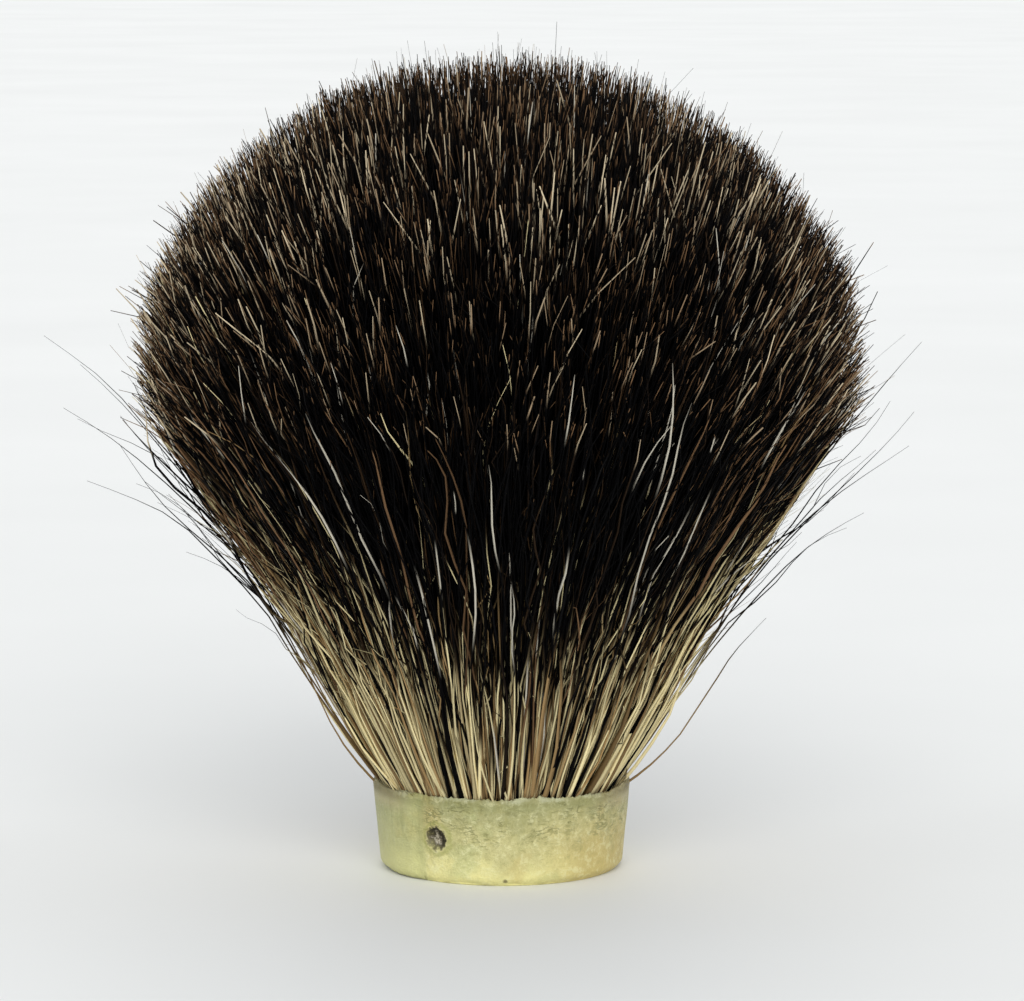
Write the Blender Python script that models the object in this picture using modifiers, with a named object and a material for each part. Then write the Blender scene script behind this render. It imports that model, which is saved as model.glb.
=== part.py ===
"""Shaving brush knot: hair tied and potted in a glue plug, inside a thin rolled collar.

The knot stands on the flat foot of its plug, on Z = 0, with its axis on +Z and its front
towards -Y. The hair that leaves the plug is a fixed core and two rings of locks. Each lock
has its origin on the axis that it bends about, where its hair leaves the glue.
"""

import math

import bmesh
import bpy
from mathutils import Matrix

# Driving dimensions, in metres and radians
KNOT_HEIGHT = 0.067  # foot of the plug to the top of the dome
COLLAR_RIM_DIAMETER = 0.021  # outside, where the hair leaves it
COLLAR_FOOT_DIAMETER = 0.0197  # outside, at the lower edge
COLLAR_HEIGHT = 0.0073  # foot of the plug to the rim
COLLAR_LIFT = 0.0003  # foot of the plug to the lower edge of the collar
FILM_THICKNESS = 0.0003
FILM_LAP_GAP = 0.00006  # between the two layers where the film overlaps itself
LAP_START = math.radians(-41)  # where the outer end of the film lies, from the front towards +X
LAP_LENGTH = math.radians(50)
LAP_SETTLE = math.radians(35)  # the turn over which the outer layer comes down to the inner one's radius
PLUG_HEIGHT = 0.0060  # foot to the surface of the glue
PLUG_WALL = 0.0010  # glue outside the tied root ends
PLUG_FLOOR = 0.0012  # glue under the root ends
PLUG_EDGE_RADIUS = 0.0008  # round at the foot
THREAD_DIAMETER = 0.0005
THREAD_SPACE = 0.00015  # between one turn and the next
THREAD_TURNS = 3
THREAD_LIFT = 0.0012  # lower ends of the hair to the middle of the first turn
HAIR_FLARE = math.radians(32.4)  # the outermost hair, from the axis
HAIR_OVER_RIM = 0.0009  # rim of the collar to the lower ends of the locks
CORE_SHARE = 0.33  # of the flare angle
MID_SHARE = 0.67
FLANK_SHARE = 0.765  # length of the outermost hair against the middle one, from the flare's apex
DOME_POWER = 2.4  # how late the dome falls away towards its edge
LOCKS = 8  # in each ring
FIT_GAP = 0.0003  # between pieces that touch
RING_GAP = 0.0004  # between one ring of locks and the next, so that they clear as they bend

# Fineness of the round shapes
RING_STEPS = 64
LOCK_STEPS = RING_STEPS // LOCKS
DOME_POINTS = 5
EDGE_POINTS = 4
THREAD_POINTS_PER_TURN = 24

# Derived sizes
SMALLEST_COLLAR_RADIUS = min(COLLAR_RIM_DIAMETER, COLLAR_FOOT_DIAMETER) / 2
BUNDLE_RADIUS = SMALLEST_COLLAR_RADIUS - FILM_THICKNESS - FIT_GAP - PLUG_WALL - FIT_GAP
WAIST_RADIUS = BUNDLE_RADIUS - FIT_GAP - THREAD_DIAMETER
BUNDLE_FOOT = PLUG_FLOOR + FIT_GAP
BUNDLE_TOP = COLLAR_HEIGHT + FIT_GAP
THREAD_PITCH = THREAD_DIAMETER + THREAD_SPACE
THREAD_HEIGHT = BUNDLE_FOOT + THREAD_LIFT
LOCK_FOOT = COLLAR_HEIGHT + HAIR_OVER_RIM
EXIT_RADIUS = COLLAR_RIM_DIAMETER / 2 - FILM_THICKNESS - FIT_GAP / 2
APEX = COLLAR_HEIGHT - EXIT_RADIUS / math.tan(HAIR_FLARE)  # height at which all the hair would meet

RESIN = ("plug_resin", (0.72, 0.66, 0.34), 0.35)
FILM = ("collar_film", (0.78, 0.76, 0.52), 0.25)
THREAD = ("tying_thread", (0.80, 0.76, 0.62), 0.8)
ROOTS = ("root_hair", (0.66, 0.55, 0.36), 0.6)
HAIR = ("dark_hair", (0.035, 0.027, 0.022), 0.45)

for old in list(bpy.data.objects):
    bpy.data.objects.remove(old, do_unlink=True)

PARTS = bpy.data.collections.new("shaving_brush_knot")
bpy.context.scene.collection.children.link(PARTS)


def material(name, color, roughness):
    """The Principled material of this name, made at its first use."""
    found = bpy.data.materials.get(name)
    if found is None:
        found = bpy.data.materials.new(name)
        found.use_nodes = True
        shader = found.node_tree.nodes["Principled BSDF"]
        shader.inputs["Base Color"].default_value = (*color, 1)
        shader.inputs["Roughness"].default_value = roughness
        shader.inputs["Metallic"].default_value = 0.0
    return found


def add_part(name, shape, finish):
    """The named object in the knot's collection. Its shape may be one that another part uses too."""
    part = bpy.data.objects.new(name, shape)
    PARTS.objects.link(part)
    if not shape.materials:
        shape.materials.append(material(*finish))
    return part


def turned(name, outline, finish):
    """A solid of revolution about Z, from an outline of (radius, height) down its outer side."""
    mesh = bpy.data.meshes.new(name)
    edges = [(i, i + 1) for i in range(len(outline) - 1)]
    mesh.from_pydata([(radius, 0, height) for radius, height in outline], edges, [])
    part = add_part(name, mesh, finish)
    screw = part.modifiers.new("turn", "SCREW")
    screw.axis = "Z"
    screw.steps = screw.render_steps = RING_STEPS
    screw.use_merge_vertices = True
    screw.merge_threshold = 0.00001
    screw.use_smooth_shade = True


def collar_radius(height):
    """Inside radius of the collar, which widens evenly from its foot to its rim."""
    share = (height - COLLAR_LIFT) / (COLLAR_HEIGHT - COLLAR_LIFT)
    outside = COLLAR_FOOT_DIAMETER + (COLLAR_RIM_DIAMETER - COLLAR_FOOT_DIAMETER) * share
    return outside / 2 - FILM_THICKNESS


def plug_radius(height):
    return collar_radius(height) - FIT_GAP


def flare_radius(height, angle):
    """Radius at this height of the cone that leaves the apex at this angle from the axis."""
    return (height - APEX) * math.tan(angle)


def dome_point(angle):
    """(radius, height) of the dome, which is nearer to the apex as the hair leans further out."""
    fall = (1 - FLANK_SHARE) * (angle / HAIR_FLARE) ** DOME_POWER
    reach = (KNOT_HEIGHT - APEX) * (1 - fall)
    return reach * math.sin(angle), APEX + reach * math.cos(angle)


def dome_outline(inner_angle, outer_angle):
    """Points of the dome from its inner angle out to its outer one."""
    step = (outer_angle - inner_angle) / DOME_POINTS
    return [dome_point(inner_angle + step * i) for i in range(DOME_POINTS + 1)]


def collar_film():
    """A strip of film rolled once round the plug, with its outer end lapped over its inner end."""
    length = 2 * math.pi + LAP_LENGTH
    columns = round(RING_STEPS * length / (2 * math.pi))
    mesh = bpy.data.meshes.new("collar_film")
    grid = bmesh.new()
    bmesh.ops.create_grid(grid, x_segments=columns, y_segments=1, size=0.5)
    for vertex in grid.verts:
        run = (vertex.co.x + 0.5) * length
        height = COLLAR_LIFT + (vertex.co.y + 0.5) * (COLLAR_HEIGHT - COLLAR_LIFT)
        settle = min(max((run - LAP_LENGTH) / LAP_SETTLE, 0), 1)
        raised = (1 + math.cos(math.pi * settle)) / 2
        radius = collar_radius(height) + raised * (FILM_THICKNESS + FILM_LAP_GAP)
        around = LAP_START - run
        vertex.co = (radius * math.sin(around), -radius * math.cos(around), height)
    bmesh.ops.recalc_face_normals(grid, faces=grid.faces)
    grid.to_mesh(mesh)
    grid.free()
    mesh.shade_smooth()
    part = add_part("collar_film", mesh, FILM)
    wall = part.modifiers.new("film", "SOLIDIFY")
    wall.thickness = FILM_THICKNESS
    wall.offset = 1.0


def resin_plug():
    """The cast glue: a cup round the root ends, flat underneath with a rounded edge."""
    foot = plug_radius(0) - PLUG_EDGE_RADIUS
    turn = [math.pi / 2 * i / EDGE_POINTS for i in range(EDGE_POINTS + 1)]
    edge = [
        (foot + PLUG_EDGE_RADIUS * math.cos(a), PLUG_EDGE_RADIUS * (1 - math.sin(a))) for a in turn
    ]
    bore = BUNDLE_RADIUS + FIT_GAP
    outline = [
        (0, PLUG_FLOOR),
        (bore, PLUG_FLOOR),
        (bore, PLUG_HEIGHT),
        (plug_radius(PLUG_HEIGHT), PLUG_HEIGHT),
        *edge,
        (0, 0),
    ]
    turned("resin_plug", outline, RESIN)


def root_bundle():
    """The packed root ends: drawn in where they are tied, and spread over the glue up to the rim."""
    waist_foot = THREAD_HEIGHT - THREAD_DIAMETER
    waist_top = THREAD_HEIGHT + THREAD_TURNS * THREAD_PITCH + THREAD_DIAMETER
    shoulder = PLUG_HEIGHT + FIT_GAP
    outline = [
        (0, BUNDLE_TOP),
        (plug_radius(COLLAR_HEIGHT), BUNDLE_TOP),
        (plug_radius(shoulder), shoulder),
        (BUNDLE_RADIUS, shoulder),
        (BUNDLE_RADIUS, waist_top + THREAD_DIAMETER / 2),
        (WAIST_RADIUS, waist_top),
        (WAIST_RADIUS, waist_foot),
        (BUNDLE_RADIUS, waist_foot - THREAD_DIAMETER / 2),
        (BUNDLE_RADIUS, BUNDLE_FOOT),
        (0, BUNDLE_FOOT),
    ]
    turned("root_bundle", outline, ROOTS)


def binding_thread():
    """The thread that ties the root ends, a helix in their waist."""
    curve = bpy.data.curves.new("binding_thread", "CURVE")
    curve.dimensions = "3D"
    curve.bevel_depth = THREAD_DIAMETER / 2
    curve.bevel_resolution = 2
    curve.use_fill_caps = True
    spline = curve.splines.new("POLY")
    count = THREAD_TURNS * THREAD_POINTS_PER_TURN + 1
    spline.points.add(count - 1)
    radius = WAIST_RADIUS + FIT_GAP + THREAD_DIAMETER / 2
    for i, point in enumerate(spline.points):
        turns = i / THREAD_POINTS_PER_TURN
        around = 2 * math.pi * turns
        height = THREAD_HEIGHT + turns * THREAD_PITCH
        point.co = (radius * math.cos(around), radius * math.sin(around), height, 1)
    add_part("binding_thread", curve, THREAD)


def hair_core():
    """The upright hair in the middle, which the locks bend away from."""
    angle = HAIR_FLARE * CORE_SHARE
    side = (flare_radius(LOCK_FOOT, angle), LOCK_FOOT)
    turned("hair_core", [*dome_outline(0, angle), side, (0, LOCK_FOOT)], HAIR)


def lock_ring(name, inner_angle, outer_angle):
    """A ring of equal locks. Each is its outline spun through its share of the turn.

    The end faces are then drawn in by half the gap, so that they lie parallel to their
    neighbours', and the origin goes to the middle of the lock's foot.
    """
    ring_gap = RING_GAP / math.cos(inner_angle)
    dome = dome_outline(inner_angle, outer_angle)
    outline = [
        (flare_radius(LOCK_FOOT, inner_angle) + ring_gap, LOCK_FOOT),
        (dome[0][0] + ring_gap, dome[0][1]),
        *dome[1:],
        (flare_radius(LOCK_FOOT, outer_angle), LOCK_FOOT),
    ]
    pivot_radius = (outline[0][0] + outline[-1][0]) / 2
    half = math.pi / LOCKS
    shape = bmesh.new()
    corners = [shape.verts.new((radius, 0, height)) for radius, height in outline]
    face = shape.faces.new(corners)
    bmesh.ops.rotate(shape, verts=corners, matrix=Matrix.Rotation(-half, 3, "Z"))
    bmesh.ops.spin(
        shape,
        geom=[face, *face.edges, *corners],
        axis=(0, 0, 1),
        angle=2 * half,
        steps=LOCK_STEPS,
    )
    for side in (-1, 1):
        along = Matrix.Rotation(side * half, 3, "Z").col[1]
        ends = [v for v in shape.verts if abs(v.co.dot(along)) < 1e-7]
        bmesh.ops.translate(shape, verts=ends, vec=-side * FIT_GAP / 2 * along)
    bmesh.ops.translate(shape, verts=shape.verts, vec=(-pivot_radius, 0, -LOCK_FOOT))
    bmesh.ops.recalc_face_normals(shape, faces=shape.faces)
    mesh = bpy.data.meshes.new(name)
    shape.to_mesh(mesh)
    shape.free()
    mesh.shade_smooth()
    mesh.set_sharp_from_angle(angle=math.radians(30))
    for i in range(LOCKS):
        around = 2 * math.pi * i / LOCKS - math.pi / 2
        lock = add_part(f"{name}_{i + 1}", mesh, HAIR)
        lock.location = (
            pivot_radius * math.cos(around),
            pivot_radius * math.sin(around),
            LOCK_FOOT,
        )
        lock.rotation_euler.z = around


collar_film()
resin_plug()
root_bundle()
binding_thread()
hair_core()
lock_ring("hair_mid", HAIR_FLARE * CORE_SHARE, HAIR_FLARE * MID_SHARE)
lock_ring("hair_outer", HAIR_FLARE * MID_SHARE, HAIR_FLARE)
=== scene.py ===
"""Looks of the shaving brush knot: single hairs, the glue plug, its collar, and the stage."""

import math

import bpy
import numpy as np
from bpy.props import FloatProperty, FloatVectorProperty, IntProperty, PointerProperty
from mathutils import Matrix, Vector


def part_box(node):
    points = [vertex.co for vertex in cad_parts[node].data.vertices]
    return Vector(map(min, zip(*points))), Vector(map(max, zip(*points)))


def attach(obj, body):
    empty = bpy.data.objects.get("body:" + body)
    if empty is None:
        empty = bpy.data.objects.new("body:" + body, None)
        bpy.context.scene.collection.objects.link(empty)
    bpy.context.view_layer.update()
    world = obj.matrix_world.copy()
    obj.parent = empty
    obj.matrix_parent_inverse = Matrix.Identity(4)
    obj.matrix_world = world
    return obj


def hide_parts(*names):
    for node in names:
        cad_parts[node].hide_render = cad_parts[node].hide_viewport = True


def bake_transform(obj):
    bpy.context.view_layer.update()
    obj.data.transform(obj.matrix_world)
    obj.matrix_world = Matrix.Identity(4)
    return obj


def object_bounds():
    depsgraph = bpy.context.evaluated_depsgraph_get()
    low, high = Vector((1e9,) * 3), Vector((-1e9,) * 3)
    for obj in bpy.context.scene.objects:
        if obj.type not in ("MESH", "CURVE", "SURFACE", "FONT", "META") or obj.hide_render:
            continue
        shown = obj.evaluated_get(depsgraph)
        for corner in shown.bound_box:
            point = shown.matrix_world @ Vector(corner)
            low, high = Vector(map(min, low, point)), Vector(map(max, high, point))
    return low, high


bl_info = {
    "name": "Shaving Brush Knot",
    "version": (1, 0, 0),
    "blender": (4, 5, 0),
    "location": "3D View > Sidebar > Knot",
    "description": "Makes the hair, the glue plug and the collar of a shaving brush knot",
    "category": "Object",
}

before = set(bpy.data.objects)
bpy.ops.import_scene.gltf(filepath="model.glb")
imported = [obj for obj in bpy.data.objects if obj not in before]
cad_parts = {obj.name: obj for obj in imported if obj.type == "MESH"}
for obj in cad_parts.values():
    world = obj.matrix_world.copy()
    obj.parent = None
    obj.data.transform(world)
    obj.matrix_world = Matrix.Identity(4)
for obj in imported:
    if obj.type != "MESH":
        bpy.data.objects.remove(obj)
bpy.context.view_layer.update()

# Places read from the frame, in metres
PLUG_BODY = "potted_root"
COLLAR_LOW, COLLAR_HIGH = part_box("collar_film")
PLUG_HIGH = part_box("resin_plug")[1]
BUNDLE_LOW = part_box("root_bundle")[0]
THREAD_LOW, THREAD_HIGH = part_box("binding_thread")
KNOT_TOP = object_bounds()[1][2]
RIM = COLLAR_HIGH.z
LOCKS = 8
FRONT = -math.pi / 2  # the direction of -Y, from +X
GOLDEN_ANGLE = math.pi * (3 - math.sqrt(5))
BAKE_MAP = "OFBake"  # the map that a bake of a piece's colours uses

# Named sizes, in metres
HAIR_INSET = 0.00063  # outside of the collar to the outermost hair
ROOT_DEPTH = 0.0006  # how far the modelled hair goes down into the glue
LIP_INSET = 0.00098  # outside of the collar to the plug's foot
PIT_DEPTH = 0.0003  # of the pit in the collar's wall
PIT_LIP = 0.00006  # how far the rim of the pit stands out
MOST_BOW = 0.0011  # how far a hair leaves its straight line
FAN_SHIFT = -0.00025  # middle of the hair's fan along X

# Shares of the hairs
FINE_SHARE = 0.04  # reach past the dome, and are thin
PEEL_SHARE = 0.17  # of the outermost: curl away from the flank
SHORT_SHARE = 0.26  # end under the dome, and more of them towards the flank
LONG_ROOT_SHARE = 0.12  # stay pale further up
WILD_SHARE = 0.06  # bend more than the others
KINKED_SHARE = 0.07  # turn part way up
CURLY_SHARE = 0.22  # curl more at the tip


def length_setting(name, default, description):
    return FloatProperty(name=name, description=description, default=default, unit="LENGTH")


def angle_setting(name, degrees, description):
    return FloatProperty(
        name=name, description=description, default=math.radians(degrees), unit="ROTATION"
    )


def number_setting(name, default, description):
    return FloatProperty(name=name, description=description, default=default)


def colour_setting(name, default, description):
    return FloatVectorProperty(
        name=name, description=description, subtype="COLOR", default=default
    )


class KnotHairSettings(bpy.types.PropertyGroup):
    """Sizes and colours of the hair."""

    count: IntProperty(name="Hairs", description="Number of hairs in the knot", default=23000)
    thickness: length_setting("Thickness", 0.00016, "Middle diameter of a hair")
    flare: angle_setting("Flare", 31.8, "Lean of the outermost hair from the axis")
    reach_share: number_setting("Reach", 0.995, "Length of the hair against the full dome")
    flank_share: number_setting("Flank", 0.786, "Length of the outermost hair against the middle")
    dome_power: number_setting("Dome power", 2.1, "How late the dome falls away to its edge")
    root_length: length_setting("Pale root", 0.0090, "Length of the pale root above the glue")
    dark_roots: number_setting("Dark roots", 0.17, "Share of hairs that are dark from the glue up")
    white_share: number_setting("White hairs", 0.035, "Share of the hairs with a white stretch")
    black: colour_setting("Black", (0.0016, 0.0015, 0.0017), "Colour of the dark stretch")
    cream: colour_setting("Cream", (0.72, 0.62, 0.35), "Colour of a pale root")
    tan: colour_setting("Tan", (0.36, 0.235, 0.105), "Colour of a brownish root")
    tip: colour_setting("Tip", (0.148, 0.085, 0.043), "Colour of a worn tip")
    pale_tip: colour_setting("Pale tip", (0.52, 0.43, 0.29), "Colour of the palest tips")
    white: colour_setting("White", (0.55, 0.51, 0.42), "Colour of a white stretch")


class KnotPlugSettings(bpy.types.PropertyGroup):
    """Sizes and colours of the glue plug and its collar."""

    pit_angle: angle_setting("Pit angle", -32.3, "Place of the pit, from the front towards +X")
    pit_height: length_setting("Pit height", 0.0037, "Foot of the plug to the middle of the pit")
    pit_radius: length_setting("Pit radius", 0.00092, "Radius of the pit")
    glue: colour_setting("Glue", (0.60, 0.56, 0.26), "Colour of the glue low on the plug")
    # Darker than the glue: partly haze, partly painted shade under the overhanging hair
    haze: colour_setting("Haze", (0.41, 0.40, 0.185), "Colour of the collar where it is hazy")
    amber: colour_setting("Amber", (0.58, 0.44, 0.14), "Colour of the warm blotches")
    green: colour_setting("Green", (0.46, 0.50, 0.22), "Colour of the cool blotches")


class KnotStageSettings(bpy.types.PropertyGroup):
    """The camera's place and the light."""

    distance: length_setting("Distance", 0.40, "Camera to the knot's axis")
    elevation: angle_setting("Elevation", 7.07, "Camera above the level of the knot")
    aim_height: length_setting("Aim", 0.0304, "Height that the camera points at")
    lens: number_setting("Lens", 170.7, "Focal length in millimetres")
    key_strength: number_setting("Key light", 1.9, "Strength of the key light")
    key_around: angle_setting("Key direction", 4, "Key light's place, from the front towards +X")
    key_rise: angle_setting("Key rise", 28, "Height of the key light over the floor")
    surround: number_setting("Surround", 0.74, "Strength of the even light")


# ---------------------------------------------------------------- meshes


def fill_mesh(name, points, quads, triangles=None):
    """A smooth mesh from arrays of points, four-cornered faces and three-cornered faces."""
    mesh = bpy.data.meshes.new(name)
    if triangles is None:
        triangles = np.empty((0, 3), int)
    loops = np.concatenate([quads.ravel(), triangles.ravel()]).astype(np.int32)
    quad_starts = 4 * np.arange(len(quads))
    starts = np.concatenate([quad_starts, 4 * len(quads) + 3 * np.arange(len(triangles))])
    mesh.vertices.add(len(points))
    mesh.vertices.foreach_set("co", points.astype(np.float32).ravel())
    mesh.loops.add(len(loops))
    mesh.loops.foreach_set("vertex_index", loops)
    mesh.polygons.add(len(starts))
    mesh.polygons.foreach_set("loop_start", starts.astype(np.int32))
    mesh.update(calc_edges=True)
    mesh.shade_smooth()
    return mesh


def add_piece(name, mesh, finish, slot, *nodes):
    """The object for a finished mesh, with its material, in place of the CAD nodes."""
    piece = bpy.data.objects.new(name, mesh)
    bpy.context.scene.collection.objects.link(piece)
    mesh.materials.append(finish)
    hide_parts(*nodes)
    return piece


def wrapped_faces(rows, columns):
    """Faces of a grid whose last column joins its first, each over two rows and two columns."""
    row, column = np.meshgrid(np.arange(rows - 1), np.arange(columns), indexing="ij")
    beside = (column + 1) % columns
    low, high = row * columns, (row + 1) * columns
    faces = np.stack([low + column, low + beside, high + beside, high + column], axis=-1)
    return faces.reshape(-1, 4)


def turned_mesh(name, rings, low_pole, high_pole):
    """A closed surface from rings of points, low to high and each running anticlockwise from above.

    A fan of triangles joins the first ring to the low pole and the last ring to the high one.
    """
    rows, columns, _ = rings.shape
    points = np.concatenate([rings.reshape(-1, 3), [low_pole, high_pole]])
    here = np.arange(columns)
    beside = (here + 1) % columns
    low, high = rows * columns, rows * columns + 1
    last = (rows - 1) * columns
    triangles = np.concatenate(
        [
            np.stack([beside, here, np.full(columns, low)], axis=1),
            np.stack([last + here, last + beside, np.full(columns, high)], axis=1),
        ]
    )
    return fill_mesh(name, points, wrapped_faces(rows, columns), triangles)


def turn_angles(count):
    """Equally spaced angles of one turn, from 0."""
    return 2 * np.pi * np.arange(count) / count


def round_axis(radius, around, height):
    """Points at some radius from the Z axis, direction about it and height."""
    x, y = radius * np.cos(around), radius * np.sin(around)
    return np.stack([x, y, height + 0 * x], axis=-1)


def unit(vectors):
    """Vectors over their own lengths."""
    return vectors / np.linalg.norm(vectors, axis=-1, keepdims=True)


def direction(lean, around):
    """Unit vectors that lean from +Z by one angle, towards the other angle about Z."""
    level = np.sin(lean)
    return np.stack([level * np.cos(around), level * np.sin(around), np.cos(lean)], axis=-1)


def tube_rings(paths, radii, across, sides, roll=0.0):
    """Rings of points round many paths at once.

    A ring's points are the path's point plus its radius times the cosine and sine of equally
    spaced angles, along two vectors square to the path. The first of the two is the path's
    direction crossed with the vector across.
    """
    along = unit(np.gradient(paths, axis=-2))
    first = unit(np.cross(along, across))
    second = np.cross(along, first)
    turn = roll + turn_angles(sides)
    cosine, sine = np.cos(turn)[..., None, :, None], np.sin(turn)[..., None, :, None]
    offset = cosine * first[..., None, :] + sine * second[..., None, :]
    return paths[..., None, :] + radii[..., None, None] * offset


def smooth_step(value, low, high):
    """0 below low, 1 above high, and 3t^2 - 2t^3 between."""
    share = np.clip((value - low) / (high - low), 0, 1)
    return share * share * (3 - 2 * share)


def ripple(*coordinates, seed, waves=12, finest=3.0):
    """Smooth noise from -1 to 1: a sum of sines of the coordinates in random directions.

    Each wave is finer and weaker than the one before, up to the finest number of times as fine.
    """
    rng = np.random.default_rng(seed)
    total = 0.0
    weight = 0.0
    for wave in range(waves):
        fineness = finest ** (wave / waves)
        phase = rng.uniform(0, 2 * np.pi)
        for coordinate in coordinates:
            phase = phase + coordinate * rng.normal() * fineness
        total = total + np.sin(phase) / fineness
        weight += 1 / fineness
    return 2 * total / weight


# ---------------------------------------------------------------- hair


class HairGroom:
    """Every hair of the knot as arrays: where it starts and ends, how it bends, and its colours."""

    def __init__(self, settings):
        rng = np.random.default_rng(7)
        count = settings.count
        self.flare = settings.flare
        # The straight lines of the hairs meet at one point on the axis, under the plug
        self.apex = RIM - (COLLAR_HIGH.y - HAIR_INSET) / math.tan(self.flare)
        number = np.arange(count) + 0.5
        share = np.sqrt(number / count)
        self.around = (number * GOLDEN_ANGLE) % (2 * np.pi) + rng.normal(0, 0.004, count) / share
        # The outermost hairs gather in clumps round the rim
        clumps = 0.009 * np.sin(70 * self.around + 2 * np.sin(5 * self.around))
        self.around += clumps * smooth_step(share, 0.85, 1.0)
        self.lean = np.arctan(share * math.tan(self.flare))
        self.edge = self.lean / self.flare  # 0 in the middle of the knot, 1 at its flank
        self.choose_tips(settings, rng)
        self.choose_bends(rng)
        self.choose_colours(settings, rng)
        self.add_strays(settings, rng)
        self.choose_locks(rng)

    def choose_tips(self, settings, rng):
        """The dome: reach from the apex falls off towards the flank as a power of the lean."""
        count = settings.count
        flank = smooth_step(self.edge, 0.8, 1.0)
        stray_lean = rng.normal(0, 0.020, count) * (1 - 0.55 * flank)
        self.tip_lean = np.abs(self.lean + stray_lean)
        level = np.maximum(np.sin(self.lean), 0.08)
        self.tip_around = self.around + rng.normal(0, 0.022, count) / level
        # Tufts: neighbouring tips drift the same way and share a tone
        place = self.tip_places(55)
        drift = 0.009 * (1 - 0.5 * flank) * ripple(*place, seed=31)
        turn = 0.009 * ripple(*place, seed=32) / level
        self.tip_lean = np.abs(self.tip_lean + drift)
        self.tip_around += turn
        self.patch = ripple(*place, seed=33)
        fall = (1 - settings.flank_share) * (self.tip_lean / self.flare) ** settings.dome_power
        corner = 0.045 * smooth_step(self.tip_lean / self.flare, 0.82, 1.05)
        dome = (KNOT_TOP - self.apex) * settings.reach_share * (1 - fall - corner)
        scatter = rng.normal(0, 0.006, count) + 0.005 * ripple(*self.tip_places(60), seed=3)
        outer = smooth_step(self.edge, 0.6, 1.0)
        short = rng.random(count) < SHORT_SHARE + 0.30 * outer
        scatter = np.where(short, scatter - rng.exponential(0.035 + 0.10 * outer), scatter)
        self.fine = rng.random(count) < FINE_SHARE
        scatter = np.where(self.fine, scatter + rng.uniform(0.004, 0.026, count), scatter)
        self.peels = (rng.random(count) < PEEL_SHARE) & (self.edge > 0.9)
        scatter = np.where(self.peels, scatter - rng.uniform(0, 0.22, count), scatter)
        self.fine |= self.peels
        self.reach = dome * (1 + np.clip(scatter, -0.5, 0.04))
        self.lack = np.clip(-scatter, 0, 0.5)  # how far a hair falls short of the dome

    def tip_places(self, fineness):
        """The tips' leans and directions as flat coordinates, for noise of some fineness."""
        reach = fineness * self.tip_lean
        return reach * np.cos(self.tip_around), reach * np.sin(self.tip_around)

    def choose_bends(self, rng):
        """Bends square to the hair: a bow, an S, waves, a kink part way up, and a curled tip.

        The peeling hairs of the flank curl outward from lower down.
        """
        count = len(self.lean)
        wild = np.where(rng.random(count) < WILD_SHARE, 2.4, 1.0)
        wild *= 1 + 0.5 * smooth_step(self.edge, 0.75, 1)
        bow = rng.normal(0, 0.00036, (count, 2)) * wild[:, None]
        self.bow = np.clip(bow, -MOST_BOW, MOST_BOW)
        # Hairs bow inward more towards the flank, and the outermost hardly bow outward
        outward = np.where(self.edge > 0.85, -0.0003, -MOST_BOW)
        self.bow[:, 1] = np.maximum(self.bow[:, 1], outward) + MOST_BOW * self.edge**3
        self.sway = rng.normal(0, 0.00022, (count, 2)) * wild[:, None]
        self.wave = rng.normal(0, 0.00017, (count, 2)) * wild[:, None]
        self.waves = rng.uniform(2.0, 4.5, count)
        self.phase = rng.uniform(0, 2 * np.pi, (count, 2))
        self.kink_at = rng.uniform(0.4, 0.92, count)
        kinked = rng.random(count) < KINKED_SHARE
        self.kink = np.where(kinked[:, None], rng.normal(0, 0.10, (count, 2)), 0.0)
        curly = np.where(rng.random(count) < CURLY_SHARE, 0.38, 0.15)
        self.curl = rng.normal(0, 1, (count, 2)) * curly[:, None]
        self.curl_at = rng.uniform(0.84, 0.95, count)
        self.curl[self.peels, 1] = -np.clip(rng.exponential(0.22, count), 0, 0.42)[self.peels]
        self.curl_at[self.peels] = rng.uniform(0.4, 0.8, count)[self.peels]
        self.girth = np.exp(rng.normal(0, 0.2, count)) * np.where(self.fine, 0.6, 1.0)
        self.roll = rng.uniform(0, 2 * np.pi, count)

    def choose_colours(self, settings, rng):
        """Lengths of the pale root and of the white stretch, and three tones a hair.

        The first tone is the root's, the second the dark stretch's and the third the tip's. Tips
        are paler on the crown, partly their own colour and partly painted top light, and paler
        where the two flanks turn away, which is painted backlight, a little more on the left flank.
        They are darker where they are short, and a little darker at the front and back.
        """
        count = len(self.lean)
        # Painted light along the sides' outline: the outer hairs on the two sides get longer pale
        # roots and fewer dark roots
        sideways = np.cos(self.around) ** 2 * smooth_step(self.edge, 0.5, 1)
        length = rng.normal(1, 0.45, count) * settings.root_length * (1 + 1.1 * sideways)
        long_root = rng.random(count) < LONG_ROOT_SHARE
        length = np.where(long_root, length + rng.exponential(0.0078, count), length)
        dark = rng.random(count) < settings.dark_roots * (1 - 0.8 * sideways)
        self.root_length = np.where(dark, -0.01, np.maximum(length, 0.002))
        self.root_soft = rng.uniform(0.0008, 0.004, count)
        pale_edge = 1 + smooth_step(self.edge, 0.8, 1) * (0.4 + 3 * np.cos(self.around) ** 4)
        white = rng.random(count) < settings.white_share * pale_edge
        self.white_at = np.where(white, rng.uniform(0.15, 1.0, count), -2.0)
        self.white_length = 0.02 + 0.2 * rng.random(count) ** 2
        self.tones = rng.random((count, 3))
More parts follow.
